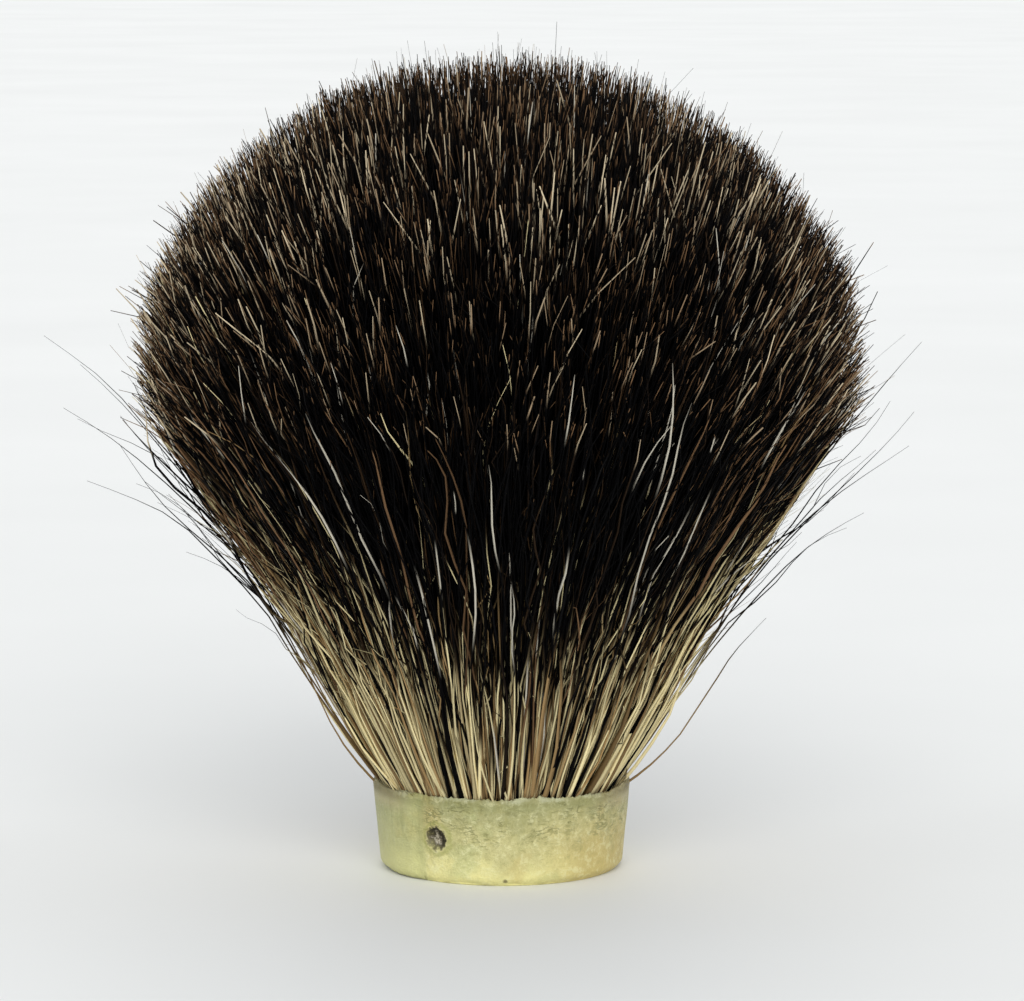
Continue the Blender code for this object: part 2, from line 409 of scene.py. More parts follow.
        # Partly painted light on the tips: the crown's are paler, partly their own colour and
        # partly painted top light, and the flanks' where they turn away are paler as painted
        # backlight, a little more on the left
        depth = self.reach * np.sin(self.tip_lean) * np.sin(self.tip_around)
        crown = 1 - smooth_step(self.edge, 0.22, 0.5)
        flank = np.exp(-((depth / 0.009) ** 2)) * smooth_step(self.edge, 0.3, 0.6)
        short = smooth_step(self.lack, 0.03, 0.12)
        front = smooth_step(self.edge, 0.55, 0.8) * np.sin(self.around) ** 2
        left = -np.cos(self.around) * smooth_step(self.edge, 0.3, 0.7)
        flank_backlight = 0.43 + 0.10 * smooth_step(self.edge, 0.7, 1.0) + 0.06 * left
        tone = self.tones[:, 2] * (1 - 0.52 * crown - 0.5 * flank)
        tone += 0.41 * crown + flank_backlight * flank
        tone += 0.06 * self.patch - 0.35 * short * (1 - 0.6 * flank) - 0.08 * front
        self.tones[:, 2] = tone
        self.girth *= 1 + 0.55 * smooth_step(tone, 0.84, 0.96)  # pale hairs are the thickest
        # Painted light along the sides' outline: a browner dark stretch on the outer hairs of the
        # two sides
        self.tones[:, 1] = np.clip(self.tones[:, 1] + 0.5 * sideways**2 * rng.random(count), 0, 1)

    def add_strays(self, settings, rng):
        """A few hairs that stand off the flanks and the dome, and a few with a white stretch.

        Each has its side, from the front towards +X, its lean, its reach, and how far it bows
        inward and sideways. A white one also has the middle and the half length of its stretch,
        as shares of its own length. Angles are in degrees and lengths in millimetres.
        """
        loose = [
            (92, 34.2, 62.5, 1.6, 0.5), (84, 36.8, 57.5, 2.2, -0.4), (96, 38.4, 54.9, 2.4, 0.8),
            (99, 35.6, 52.0, 1.8, -0.7), (88, 37.2, 48.5, 1.4, 0.3), (93, 36.4, 36.5, -1.3, 0.5),
            (-92, 35.0, 64.6, 2.0, -0.4), (-88, 37.2, 59.0, 2.6, 0.8), (-85, 38.2, 53.2, 2.2, -0.8),
            (-95, 36.6, 55.5, 2.0, 0.3), (-97, 36.0, 46.0, 1.2, 0.6), (40, 36.5, 55.0, 2.0, 0.5),
            (135, 37.0, 58.0, 2.0, -0.6), (-140, 36.5, 57.0, 2.2, 0.5), (175, 37.5, 54.0, 2.4, 0.7),
            (155, 35.0, 60.0, 1.6, -0.3), (90, 33.6, 60.0, 1.2, 0.4), (95, 34.8, 57.0, 1.6, -0.6),
            (87, 35.6, 53.5, 1.5, 0.7), (98, 36.6, 50.5, 1.9, 0.4), (91, 37.4, 46.5, 1.6, -0.5),
            (94, 35.4, 43.0, 1.0, 0.6), (-90, 34.2, 61.0, 1.4, 0.5), (-94, 35.4, 57.5, 1.8, -0.5),
            (-87, 36.2, 54.0, 2.0, 0.6), (-98, 37.2, 50.0, 1.9, -0.3), (-91, 35.0, 48.0, 1.2, 0.5),
            (-86, 36.4, 43.5, 1.3, -0.6), (95, 4.0, 78.4, 0.3, 0.3), (-60, 5.0, 77.0, 0.3, -0.3),
        ]
        white = [
            (32, 31.8, 58.5, 0.2, 1.0, 0.74, 0.30), (-26, 31.8, 58.5, 0.2, 1.1, 0.78, 0.25),
            (44, 23.5, 67.8, 0.0, 0.3, 0.96, 0.06), (-43, 31.5, 60.5, 0.2, 0.2, 0.96, 0.07),
            (0, 31.6, 53.5, 0.3, 0.4, 0.86, 0.16), (9, 31.4, 61.5, 0.3, -0.6, 0.93, 0.09),
            (21, 31.8, 57.0, 0.3, 0.9, 0.92, 0.11), (28, 31.6, 62.0, 0.2, 0.5, 0.87, 0.16),
            (-14, 28.0, 64.0, 0.0, 0.2, 0.96, 0.05), (-7, 31.8, 49.0, 0.4, -0.5, 0.74, 0.20),
            (-33, 31.8, 54.0, 0.3, 0.7, 0.85, 0.17), (37, 31.7, 52.0, 0.4, -0.4, 0.72, 0.18),
            (-18, 31.8, 47.0, 0.4, 0.3, 0.66, 0.20), (14, 31.8, 50.5, 0.4, 0.2, 0.70, 0.15),
            (55, 31.6, 59.0, 0.3, -0.6, 0.90, 0.09), (-58, 31.6, 57.0, 0.3, 0.6, 0.86, 0.12),
            (110, 31.5, 60.0, 0.3, 0.8, 0.88, 0.12), (160, 31.7, 57.0, 0.2, -1.0, 0.78, 0.18),
            (200, 31.5, 61.0, 0.3, 0.7, 0.92, 0.07), (235, 31.6, 55.0, 0.3, 0.9, 0.85, 0.12),
        ]
        unseen = (-2, 0.1)  # a white stretch below the root
        stretches = [unseen] * len(loose) + [row[5:] for row in white]
        white_at, white_length = np.array(stretches).T
        side, lean, reach, inward, sideways = np.array(loose + [row[:5] for row in white]).T
        count = len(side)
        around = FRONT + np.radians(side)
        lean = np.radians(lean)
        root_lean = np.minimum(lean, self.flare * 0.99)
        added = {
            "around": around,
            "lean": root_lean,
            "edge": root_lean / self.flare,
            "tip_lean": lean,
            "tip_around": around + rng.normal(0, 0.03, count),
            "reach": reach / 1000,
            "bow": np.stack([sideways, inward], axis=1) / 1000,
            "sway": rng.normal(0, 0.0004, (count, 2)),
            "wave": rng.normal(0, 0.0002, (count, 2)),
            "waves": rng.uniform(2, 4, count),
            "phase": rng.uniform(0, 2 * np.pi, (count, 2)),
            "kink_at": np.full(count, 0.6),
            "kink": rng.normal(0, 0.015, (count, 2)),
            "curl": rng.normal(0, 0.2, (count, 2)),
            "curl_at": rng.uniform(0.75, 0.9, count),
            "fine": white_at < 0,
            "girth": np.where(white_at < 0, 0.85, 1.2),
            "roll": rng.uniform(0, 2 * np.pi, count),
            "root_length": np.where(white_at < 0, settings.root_length, -0.01),
            "root_soft": np.full(count, 0.004),
            "white_at": white_at,
            "white_length": white_length,
            "tones": rng.random((count, 3)) * [1, 0.5, 0.6],  # none with a pale tip
        }
        for name, values in added.items():
            setattr(self, name, np.concatenate([getattr(self, name), values]))

    def choose_locks(self, rng):
        """Each hair's ring and sector, with ragged borders, so that no lock has a clean edge."""
        blur = rng.normal(0, 0.03, len(self.lean))
        at = self.lean / self.flare + blur
        self.ring = np.digitize(at, [0.33, 0.67])
        turn = (self.around - FRONT) / (2 * np.pi) * LOCKS + rng.normal(0, 0.06, len(self.lean))
        self.sector = np.round(turn).astype(int) % LOCKS

    def paths(self, chosen, points):
        """Points along the chosen hairs, from inside the glue to their tips.

        A hair is the straight line from its root to its tip, plus a bow, which is half a sine
        wave over its length, plus an S of a whole wave, plus a few finer waves, plus a kink that
        grows evenly from its place on, plus a curl that grows as the square from its own.
        """
        lean, around = self.lean[chosen], self.around[chosen]
        out = direction(lean, around)
        apex = np.array([FAN_SHIFT, 0, self.apex])
        root_height = PLUG_HIGH.z - ROOT_DEPTH
        root = apex + out * ((root_height - self.apex) / np.cos(lean))[:, None]
        toward = direction(self.tip_lean[chosen], self.tip_around[chosen])
        tip = apex + toward * self.reach[chosen][:, None]
        chord = tip - root
        length = np.linalg.norm(chord, axis=1)
        across = np.stack([-np.sin(around), np.cos(around), np.zeros(len(around))], axis=1)
        above = np.cross(unit(chord), across)
        step = np.linspace(0, 1, points)
        along = (step - 0.05 * np.sin(2 * np.pi * step))[None, :, None]
        past_kink = along - self.kink_at[chosen][:, None, None]
        past_kink = (past_kink + np.sqrt(past_kink**2 + 0.003)) / 2
        past_curl = np.maximum(along - self.curl_at[chosen][:, None, None], 0)
        curl_room = 2 * (1 - self.curl_at[chosen])[:, None, None]
        turn = 2 * np.pi * self.waves[chosen][:, None, None] * along
        turn = turn + self.phase[chosen][:, None, :]
        loose = smooth_step(along, 0.1, 0.5)
        shape = (
            np.sin(np.pi * along**1.3) * self.bow[chosen][:, None, :]
            + np.sin(2 * np.pi * along) * self.sway[chosen][:, None, :]
            + loose * np.sin(turn) * self.wave[chosen][:, None, :]
            + length[:, None, None] * past_kink * self.kink[chosen][:, None, :]
            + length[:, None, None] * past_curl**2 / curl_room * self.curl[chosen][:, None, :]
        )
        line = root[:, None, :] + along * chord[:, None, :]
        line = line + shape[..., :1] * across[:, None, :] + shape[..., 1:] * above[:, None, :]
        return line, np.broadcast_to(along[..., 0], line.shape[:2]), length, above


def hair_mesh(name, groom, chosen, points, thickness):
    """The chosen hairs as one mesh of three-sided tubes, thin at the root and fine at the tip.

    The strand map gives a random number for each hair and the share of its length. The other
    attributes hold where the root's colour and the white stretch lie, and the hair's tones.
    """
    sides = 3
    line, along, length, above = groom.paths(chosen, points)
    hairs = len(chosen)
    profile = 0.85 + 0.15 * smooth_step(along, 0, 0.35)
    profile = profile + 1.1 * root_girth(groom.edge[chosen], along)
    fine = groom.fine[chosen][:, None]
    taper = np.where(fine, 0.75, 0.65) * smooth_step(along, np.where(fine, 0.65, 0.86), 1.0)
    profile = profile * (1 - taper)
    radii = thickness / 2 * profile * groom.girth[chosen][:, None]
    rings = tube_rings(line, radii, above[:, None, :], sides, groom.roll[chosen][:, None])
    vertex = np.arange(hairs * points * sides).reshape(hairs, points, sides)
    beside = np.roll(vertex, -1, axis=2)
    quads = np.stack(
        [vertex[:, :-1], beside[:, :-1], beside[:, 1:], vertex[:, 1:]], axis=-1
    ).reshape(-1, 4)
    caps = np.concatenate([vertex[:, 0, ::-1], vertex[:, -1]])
    mesh = fill_mesh(name, rings.reshape(-1, 3), quads, caps)
    each = points * sides
    share = np.repeat(along[..., None], sides, axis=2).ravel()
    lot = np.repeat(groom.tones[chosen, 0], each)
    set_map(mesh, "strand", np.stack([lot, share], axis=1))
    root_length, root_soft = groom.root_length[chosen] / length, groom.root_soft[chosen] / length
    bands = (root_length, root_soft, groom.white_at[chosen])
    marks = (groom.white_length[chosen], groom.tones[chosen, 1], groom.tones[chosen, 2])
    for map_name, values in (("bands", bands), ("marks", marks)):
        set_vectors(mesh, map_name, np.repeat(np.stack(values, axis=1), each, axis=0))
    set_map(mesh, BAKE_MAP, strip_layout(hairs, points, sides))
    return mesh


def root_girth(edge, along):
    """How much thicker the outermost hairs are at the glue, fading over a third of their length."""
    return smooth_step(edge, 0.8, 1.0)[:, None] * (1 - smooth_step(along, 0.05, 0.35))


def strip_layout(hairs, points, sides):
    """A place on the unit square for each point of each hair: hairs stand side by side in rows.

    A hair's column is a narrow strip, its length runs up the strip, and its sides share it.
    """
    rows = max(1, round(math.sqrt(hairs / 24)))
    columns = math.ceil(hairs / rows)
    number = np.arange(hairs)
    left = (number % columns + 0.2) / columns
    low = (number // columns + 0.02) / rows
    up = np.linspace(0, 0.96, points) / rows
    over = np.linspace(0, 0.6, sides) / columns
    x = np.broadcast_to(left[:, None, None] + over, (hairs, points, sides))
    y = np.broadcast_to(low[:, None, None] + up[:, None], (hairs, points, sides))
    return np.stack([x.ravel(), y.ravel()], axis=1)


def set_map(mesh, name, values):
    """A UV map from a value for each point."""
    corner = np.empty(len(mesh.loops), np.int32)
    mesh.loops.foreach_get("vertex_index", corner)
    layer = mesh.uv_layers.new(name=name)
    layer.data.foreach_set("uv", values[corner].astype(np.float32).ravel())


def set_vectors(mesh, name, values):
    """An attribute with a vector for each point."""
    attribute = mesh.attributes.new(name, "FLOAT_VECTOR", "POINT")
    attribute.data.foreach_set("vector", values.astype(np.float32).ravel())


# ---------------------------------------------------------------- materials


def new_material(name):
    """An empty material with its Principled shader."""
    made = bpy.data.materials.new(name)
    made.use_nodes = True
    return made, made.node_tree, made.node_tree.nodes["Principled BSDF"]


def add_node(tree, kind, links=None, **settings):
    """A node with its settings. Links gives inputs by name or number: sockets or plain values."""
    node = tree.nodes.new("ShaderNode" + kind)
    for key, value in settings.items():
        setattr(node, key, value)
    for key, value in (links or {}).items():
        if isinstance(value, bpy.types.NodeSocket):
            tree.links.new(value, node.inputs[key])
        else:
            node.inputs[key].default_value = value
    return node


def mix_colours(tree, factor, first, second, blend="MIX"):
    """The colour between two, which may be sockets or plain colours."""
    node = add_node(tree, "Mix", data_type="RGBA", blend_type=blend)
    for index, value in ((0, factor), (6, first), (7, second)):
        if isinstance(value, bpy.types.NodeSocket):
            tree.links.new(value, node.inputs[index])
        elif index:
            node.inputs[index].default_value = (*value, 1)
        else:
            node.inputs[index].default_value = value
    return node.outputs[2]


def set_surface(tree, shader, colour, roughness, specular=None):
    """The colour from a socket, and plain values for the rest."""
    tree.links.new(colour, shader.inputs["Base Color"])
    shader.inputs["Roughness"].default_value = roughness
    if specular is not None:
        shader.inputs["Specular IOR Level"].default_value = specular


def set_bump(tree, shader, height, strength, distance):
    links = {"Strength": strength, "Distance": distance, "Height": height}
    tree.links.new(add_node(tree, "Bump", links).outputs[0], shader.inputs["Normal"])


def object_place(tree, stretch=None):
    """The point in the object's own metres, with its axes scaled when a stretch is given."""
    place = add_node(tree, "TexCoord").outputs["Object"]
    return add_node(tree, "Mapping", {0: place, 3: stretch}).outputs[0] if stretch else place


def split(tree, vector):
    """The X, Y and Z of a vector."""
    return add_node(tree, "SeparateXYZ", {0: vector}).outputs


def away_from(tree, place, point):
    """Distance between a place and a point."""
    links = {0: place, 1: point}
    return add_node(tree, "VectorMath", links, operation="DISTANCE").outputs["Value"]


def fade(tree, value, low, high, to_low=0.0, to_high=1.0):
    """A smooth change from one level to another as the value goes from low to high."""
    links = {"Value": value, 1: low, 2: high, 3: to_low, 4: to_high}
    return add_node(tree, "MapRange", links, interpolation_type="SMOOTHSTEP").outputs[0]


def maths(tree, operation, first, second=0.0):
    return add_node(tree, "Math", {0: first, 1: second}, operation=operation).outputs[0]


def times(tree, first, second):
    return maths(tree, "MULTIPLY", first, second)


def plus(tree, first, second):
    return maths(tree, "ADD", first, second)


def minus(tree, first, second):
    return maths(tree, "SUBTRACT", first, second)


def ramp(tree, factor, *stops):
    """A colour ramp from (place, colour) stops."""
    node = add_node(tree, "ValToRGB", {"Fac": factor})
    while len(node.color_ramp.elements) < len(stops):
        node.color_ramp.elements.new(1.0)
    for element, (place, colour) in zip(node.color_ramp.elements, stops, strict=True):
        element.position = place
        element.color = (*colour, 1)
    return node.outputs[0]


def noise(tree, vector, scale, detail=3.0, roughness=0.6):
    links = {"Vector": vector, "Scale": scale, "Detail": detail, "Roughness": roughness}
    return add_node(tree, "TexNoise", links).outputs[0]


def dimmed(colour, *amounts):
    """The colour times each amount."""
    return [[amount * channel for channel in colour] for amount in amounts]


def hair_material(settings):
    """Badger hair: a pale root, a near-black middle and a worn brown tip, with white stretches."""
    made, tree, shader = new_material("dark_hair")
    strand = add_node(tree, "UVMap", uv_map="strand").outputs[0]
    bands, marks = (
        add_node(tree, "Attribute", attribute_name=name).outputs["Vector"]
        for name in ("bands", "marks")
    )
    lot, along, _ = split(tree, strand)
    root_end, root_soft, white_at = split(tree, bands)
    white_length, dark_lot, tip_lot = split(tree, marks)

    cream, tan = settings.cream, settings.tan
    black, tip, pale_tip = settings.black, settings.tip, settings.pale_tip
    bright, dull = dimmed(cream, 1.3, 0.70)
    bright = [min(1, channel) for channel in bright]
    deep_tan, shaded_tan = dimmed(tan, 0.35, 0.5)
    colours = (bright, cream, dull, tan, deep_tan)
    roots = ramp(tree, lot, *zip((0.0, 0.30, 0.58, 0.80, 1.0), colours, strict=True))
    colours = dimmed(black, 1.0, 1.1, 2.4) + dimmed(tip, 0.2, 1.2)
    darks = ramp(tree, dark_lot, *zip((0.0, 0.62, 0.88, 0.97, 1.0), colours, strict=True))
    colours = dimmed(tip, 0.02, 0.04, 0.4, 1.35) + dimmed(pale_tip, 0.85, 1.35)
    tips = ramp(tree, tip_lot, *zip((0.0, 0.54, 0.72, 0.86, 0.94, 1.0), colours, strict=True))
    # A tip's length is a share of the hair: mostly short, and longer on the palest hairs
    chance = maths(tree, "FRACT", times(tree, lot, 17.0))
    tip_end = times(tree, maths(tree, "POWER", chance, 3.0), 0.035)
    pale_extra = times(tree, fade(tree, tip_lot, 0.84, 0.94), 0.075)
    tip_end = plus(tree, plus(tree, tip_end, pale_extra), 0.012)
    from_tip = minus(tree, 1.0, along)
    worn = fade(tree, from_tip, times(tree, tip_end, 0.5), tip_end, 1.0, 0.0)
    colour = mix_colours(tree, worn, darks, tips)
    # The root is pale, then fades through brown
    pale_end = plus(tree, root_end, times(tree, root_soft, 2.2))
    pale = fade(tree, along, root_end, pale_end, 1.0, 0.0)
    brown = fade(tree, along, root_end, plus(tree, pale_end, root_soft), 0.6, 0.0)
    colour = mix_colours(tree, brown, colour, shaded_tan)
    colour = mix_colours(tree, pale, colour, roots)
    offset = maths(tree, "ABSOLUTE", minus(tree, along, white_at))
    white = fade(tree, offset, times(tree, white_length, 0.4), white_length, 1.0, 0.0)
    colour = mix_colours(tree, white, colour, settings.white)
    set_surface(tree, shader, colour, 0.5, 0.035)
    return made


def glue_group():
    """The pattern of the glue and of the film over it, as a node group.

    The colour is pale yellow low down and dull olive near the rim, partly haze and partly painted
    shade under the overhanging hair, amber low on the right and in blotches, green under the lapped
    film and in others, pebbled all over, and darker under the rim with painted shade in its creases
    and with dark patches. The other outputs are the height of the lumps, and 1 where the film is
    lapped.
    """
    group = bpy.data.node_groups.new("glue_pattern", "ShaderNodeTree")
    for name in ("Glue", "Haze", "Amber", "Green"):
        group.interface.new_socket(name=name, in_out="INPUT", socket_type="NodeSocketColor")
    group.interface.new_socket(name="Color", in_out="OUTPUT", socket_type="NodeSocketColor")
    group.interface.new_socket(name="Lumps", in_out="OUTPUT", socket_type="NodeSocketFloat")
    group.interface.new_socket(name="Lapped", in_out="OUTPUT", socket_type="NodeSocketFloat")
    given = group.nodes.new("NodeGroupInput").outputs
    result = group.nodes.new("NodeGroupOutput").inputs

    place = object_place(group)
    across, backward, height = split(group, place)
    # The angle is 0 at the front, and grows towards +X
    angle = maths(group, "ARCTAN2", across, times(group, backward, -1.0))
    lapped = window(group, angle, (-1.95, -1.5), (-0.72, -0.64))
    cloud = minus(group, noise(group, place, 330, 4.0), 0.5)
    lifted = plus(group, height, times(group, cloud, 0.005))
    low = mix_colours(group, 1.0, given["Glue"], (1.42, 1.42, 1.36), "MULTIPLY")
    low = mix_colours(group, fade(group, lifted, 0.0002, 0.0034), low, given["Glue"])
    # Darker and olive towards the rim: partly haze, partly painted shade under the overhanging hair
    base = mix_colours(group, fade(group, lifted, 0.0036, 0.0066), low, given["Haze"])
    blotch = noise(group, place, 190, 3.0)
    right = window(group, angle, (0.1, 0.9), (1.7, 2.3))
    right = times(group, right, fade(group, lifted, 0.002, 0.006, 1.0, 0.15))
    amber = maths(group, "MAXIMUM", right, fade(group, blotch, 0.54, 0.68, 0.0, 0.55))
    base = mix_colours(group, times(group, amber, 0.75), base, given["Amber"])
    green = maths(group, "MAXIMUM", lapped, fade(group, blotch, 0.44, 0.32))
    base = mix_colours(group, times(group, green, 0.45), base, given["Green"])
    # Pebbles, faint under the lapped film
    single = minus(group, 1.0, times(group, lapped, 0.7))
    lumps = noise(group, place, 1250, 6.0, 0.8)
    light = times(group, fade(group, lumps, 0.50, 0.62), single)
    base = mix_colours(group, times(group, light, 0.42), base, (0.88, 0.86, 0.50))
    dark = times(group, fade(group, lumps, 0.49, 0.38), single)
    dark = times(group, dark, fade(group, height, 0.001, 0.0032, 0.3, 1.0))
    base = mix_colours(group, times(group, dark, 0.45), base, (0.34, 0.32, 0.11))
    # Creases darkened with painted shade, and dark patches, in a band under the rim
    band = window(group, lifted, (0.0024, 0.0042), (0.0062, 0.0072))
    squashed = object_place(group, (1, 1, 2.2))
    ridge = minus(group, noise(group, squashed, 620, 3.0, 0.7), 0.5)
    crease_shade = fade(group, maths(group, "ABSOLUTE", ridge), 0.0, 0.055, 1.0, 0.0)
    patch = fade(group, noise(group, place, 420, 2.0), 0.42, 0.60)
    crease_shade = times(group, crease_shade, patch)
    crease_shade = times(group, crease_shade, band)
    dark_patch = fade(group, noise(group, squashed, 760, 6.0, 0.75), 0.54, 0.68)
    dark_patch = times(group, times(group, dark_patch, band), 0.7)
    # Painted shade in the creases, and the dark patches, darken the colour and lower the lumps
    marks = times(group, maths(group, "MAXIMUM", crease_shade, dark_patch), single)
    base = mix_colours(group, times(group, marks, 0.75), base, (0.24, 0.24, 0.08))
    lumps = minus(group, lumps, times(group, marks, 0.25))
    group.links.new(base, result["Color"])
    group.links.new(lumps, result["Lumps"])
    group.links.new(lapped, result["Lapped"])
    return group


def glue_pattern(tree, settings):
    """The glue's pattern in a material, with its colours set: its colour, lumps and lap."""
    group = bpy.data.node_groups.get("glue_pattern") or glue_group()
    node = tree.nodes.new("ShaderNodeGroup")
    node.node_tree = group
    for name in ("Glue", "Haze", "Amber", "Green"):
        node.inputs[name].default_value = (*getattr(settings, name.lower()), 1)
    return node.outputs["Color"], node.outputs["Lumps"], node.outputs["Lapped"]


def window(tree, value, rise, fall):
    """1 between two fades: the first goes up over one range, the second down over the other."""
    up = fade(tree, value, *rise)
    return times(tree, up, fade(tree, value, *fall, 1.0, 0.0))


def film_material(settings):
    """The collar's film, hazy over the glue and clearer at its rim, with the pit's dark floor."""
    made, tree, shader = new_material("collar_film")
    colour, lumps, lapped = glue_pattern(tree, settings)
    place = object_place(tree)
    across, _, height = split(tree, place)

    def tint(colour, mask, amount, other):
        return mix_colours(tree, times(tree, mask, amount), colour, other)

    # Upright streaks, where the glue's hair ends show through, and most on the lapped end
    streak = fade(tree, noise(tree, object_place(tree, (1, 1, 0.12)), 900, 3.0), 0.50, 0.62)
    streak = times(tree, streak, plus(tree, times(tree, lapped, 0.65), 0.25))
    streak = times(tree, streak, fade(tree, height, 0.001, 0.0045))
    colour = tint(colour, streak, 0.4, (0.30, 0.31, 0.12))
    # A dark line just under the rim, which is painted shadow, a patchy whitish rim over it, and
    # both sides flushed
    worn = plus(tree, height, times(tree, lumps, 0.0012))
    # Painted shadow: a dark band just under the rim
    line = window(tree, worn, (RIM - 0.0006, RIM - 0.0002), (RIM + 0.0001, RIM + 0.0003))
    colour = tint(colour, line, 0.35, (0.27, 0.28, 0.10))
    patchy = fade(tree, noise(tree, place, 500, 2.0), 0.40, 0.62)
    rim = times(tree, fade(tree, worn, RIM + 0.0001, RIM + 0.0005), patchy)
    colour = tint(colour, rim, 0.55, (0.66, 0.68, 0.46))
    sideways = fade(tree, maths(tree, "ABSOLUTE", across), 0.0068, 0.0098)
    flushed = times(tree, sideways, fade(tree, height, RIM - 0.0022, RIM - 0.0006))
    colour = tint(colour, flushed, 0.55, (0.52, 0.42, 0.25))
    # The pit: a beige floor, a ragged dark outline that is partly its own dark edge and partly
    # painted shade, darkest at its upper right, and a greenish halo
    turn, size, radius = settings.pit_angle, settings.pit_radius, COLLAR_HIGH.y
    middle = (radius * math.sin(turn), -radius * math.cos(turn), settings.pit_height)
    uneven = minus(tree, noise(tree, place, 1900, 4.0), 0.5)
    ragged = plus(tree, away_from(tree, place, middle), times(tree, uneven, 0.0009))
    grain = fade(tree, noise(tree, place, 3600, 4.0, 0.8), 0.38, 0.62)
    floor = ramp(
        tree, grain, (0.0, (0.16, 0.13, 0.08)), (0.5, (0.46, 0.41, 0.30)), (1.0, (0.72, 0.66, 0.52))
    )
    halo = window(tree, ragged, (size * 1.15, size * 1.4), (size * 1.45, size * 1.8))
    colour = tint(colour, halo, 0.55, (0.36, 0.37, 0.10))
    colour = mix_colours(tree, fade(tree, ragged, size * 0.80, size, 1.0, 0.0), colour, floor)
    outline = window(tree, ragged, (size * 0.68, size * 0.90), (size * 1.0, size * 1.2))
    offset = add_node(tree, "VectorMath", {0: place, 1: middle}, operation="SUBTRACT").outputs[0]
    right, _, up = split(tree, offset)
    # Painted shade: the outline is darkest on the pit's upper right side
    shade = fade(tree, plus(tree, right, up), -0.0008, 0.0008, 0.7, 1.0)
    colour = tint(colour, outline, shade, (0.025, 0.020, 0.006))
    # A nick at the foot
    nick = away_from(tree, place, (0.0002, 0.0007 - radius, 0.0004))
    nick = plus(tree, nick, times(tree, uneven, 0.0004))
    nick = fade(tree, nick, 0.0001, 0.0003, 0.8, 0.0)
    colour = mix_colours(tree, nick, colour, (0.10, 0.08, 0.03))
    set_surface(tree, shader, colour, 0.38, 0.35)
    # Clearer towards the rim, and most at the sides
    least = minus(tree, 0.88, times(tree, sideways, 0.4))
    clear = fade(tree, height, RIM - 0.0011, RIM - 0.0002, 1.0, least)
    tree.links.new(clear, shader.inputs["Alpha"])
    set_bump(tree, shader, lumps, 0.8, 0.0004)
    return made


def resin_material(settings):
    """The cast glue, with fine lumps."""
    made, tree, shader = new_material("plug_resin")
    colour, lumps, _ = glue_pattern(tree, settings)
    set_surface(tree, shader, colour, 0.4)
    set_bump(tree, shader, lumps, 0.5, 0.0002)
    return made


def root_material():
    """Packed root ends: fine upright streaks from cream to dark brown."""
    made, tree, shader = new_material("root_hair")
    colour = ramp(
        tree,
        noise(tree, object_place(tree, (1, 1, 0.06)), 3200, 2.0),
        (0.30, (0.02, 0.014, 0.008)),
        (0.45, (0.20, 0.13, 0.055)),
        (0.60, (0.50, 0.44, 0.235)),
        (0.80, (0.66, 0.60, 0.38)),
    )
    set_surface(tree, shader, colour, 0.6)
    return made


def thread_material():
    """Waxed cotton: off-white, with darker fibres."""
    made, tree, shader = new_material("tying_thread")
    fibres = noise(tree, object_place(tree), 4200, 3.0)
    colour = ramp(tree, fibres, (0.35, (0.38, 0.33, 0.22)), (0.65, (0.68, 0.62, 0.47)))
    set_surface(tree, shader, colour, 0.8)
    return made


def floor_material():
    """Pale matt floor with the faintest grain."""
    made, tree, shader = new_material("stage_floor")
    grain = noise(tree, object_place(tree), 9.0, 3.0)
    colour = ramp(tree, grain, (0.3, (0.78, 0.79, 0.79)), (0.7, (0.82, 0.83, 0.83)))
    set_surface(tree, shader, colour, 0.7)
    return made


# ---------------------------------------------------------------- operators

GROOM = {}


def groom_of(scene):
    """The hairs, worked out at their first use."""
    if not GROOM:
        GROOM["hair"] = HairGroom(scene.knot_hair)
        GROOM["material"] = hair_material(scene.knot_hair)
    return GROOM["hair"], GROOM["material"]


class KNOT_OT_add_core(bpy.types.Operator):
    """Add the upright hair in the middle of the knot"""

    bl_idname = "knot.add_core"
    bl_label = "Add core hair"

    def execute(self, context):
        groom, finish = groom_of(context.scene)
        chosen = np.flatnonzero(groom.ring == 0)
        mesh = hair_mesh("core_hair", groom, chosen, 8, context.scene.knot_hair.thickness)
        piece = add_piece("core_hair", mesh, finish, "dark_hair", "hair_core")
        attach(piece, PLUG_BODY)
        return {"FINISHED"}


class KNOT_OT_add_locks(bpy.types.Operator):
    """Add the hair of the two rings of locks, one piece for each lock, its hairs bending from the
    glue up
    """

    bl_idname = "knot.add_locks"
    bl_label = "Add lock hair"

    def execute(self, context):
        groom, finish = groom_of(context.scene)
        for ring, ring_name, points in ((1, "mid", 10), (2, "outer", 15)):
            for sector in range(LOCKS):
                chosen = np.flatnonzero((groom.ring == ring) & (groom.sector == sector))
                name = f"{ring_name}_hair_{sector + 1}"
                mesh = hair_mesh(name, groom, chosen, points, context.scene.knot_hair.thickness)
                node = f"hair_{ring_name}_{sector + 1}"
                piece = add_piece(name, mesh, finish, "dark_hair", node)
                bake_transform(piece)
        return {"FINISHED"}


